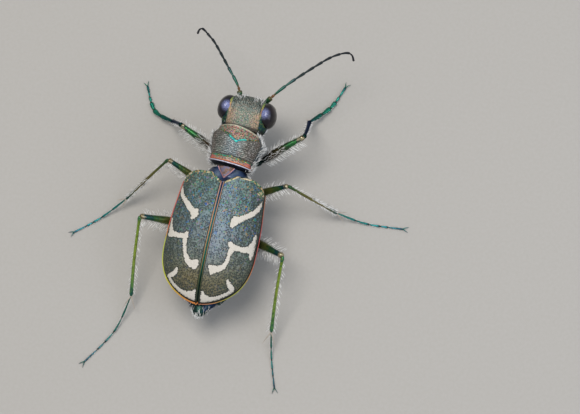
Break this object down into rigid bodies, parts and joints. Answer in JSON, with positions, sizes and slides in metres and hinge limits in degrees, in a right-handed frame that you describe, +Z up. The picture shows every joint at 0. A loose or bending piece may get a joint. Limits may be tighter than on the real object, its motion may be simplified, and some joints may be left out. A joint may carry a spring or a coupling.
{
  "type": "tiger beetle",
  "caption": "Life-size still model of a tiger beetle with cream-marked wing cases, big eyes, sickle jaws and long slender legs, standing on its feet with feelers forward.",
  "frame": {"origin": "on the floor, under the middle of the box round legs, feelers and body", "axes": "+Z up, +Y toward the head, +X to the beetle's right"},
  "size_m": [0.021, 0.0218, 0.0057],
  "materials": {
    "wing_case": "satin grey-olive cuticle with fine pits, ivory markings and copper and green rims",
    "pronotum": "finely wrinkled bronze cuticle with turquoise grooves",
    "head": "finely ridged olive-bronze cuticle with copper and green tints",
    "scutellum": "polished copper-pink cuticle",
    "underside": "dark blue-green metallic cuticle with white hairs",
    "eye": "glossy purple-brown",
    "labrum": "smooth ivory",
    "mandible": "polished dark bronze, ivory at the outer base",
    "palp": "brown with dark metallic ends",
    "antenna": "metallic green near the root, dull dark beyond",
    "leg": "metallic green and bronze with white bristles",
    "foot": "metallic blue-green"
  },
  "bodies": {
    "root": {"head": "head", "eye_left": "eye", "eye_right": "eye", "labrum": "labrum", "mandible_left": "mandible", "mandible_right": "mandible", "palp_maxillary_left": "palp", "palp_maxillary_right": "palp", "palp_labial_left": "palp", "palp_labial_right": "palp", "antenna_left": "antenna", "antenna_right": "antenna", "pronotum": "pronotum", "scutellum": "scutellum", "elytron_left": "wing_case", "elytron_right": "wing_case", "thorax": "underside", "abdomen": "underside", "front_coxa_left": "underside", "front_coxa_right": "underside", "middle_coxa_left": "underside", "middle_coxa_right": "underside", "hind_coxa_left": "underside", "hind_coxa_right": "underside", "front_femur_left": "leg", "front_femur_right": "leg", "middle_femur_left": "leg", "middle_femur_right": "leg", "hind_femur_left": "leg", "hind_femur_right": "leg", "front_tibia_left": "leg", "front_tibia_right": "leg", "middle_tibia_left": "leg", "middle_tibia_right": "leg", "hind_tibia_left": "leg", "hind_tibia_right": "leg", "front_tarsus_left": "foot", "front_tarsus_right": "foot", "middle_tarsus_left": "foot", "middle_tarsus_right": "foot", "hind_tarsus_left": "foot", "hind_tarsus_right": "foot"}
  },
  "joints": []
}
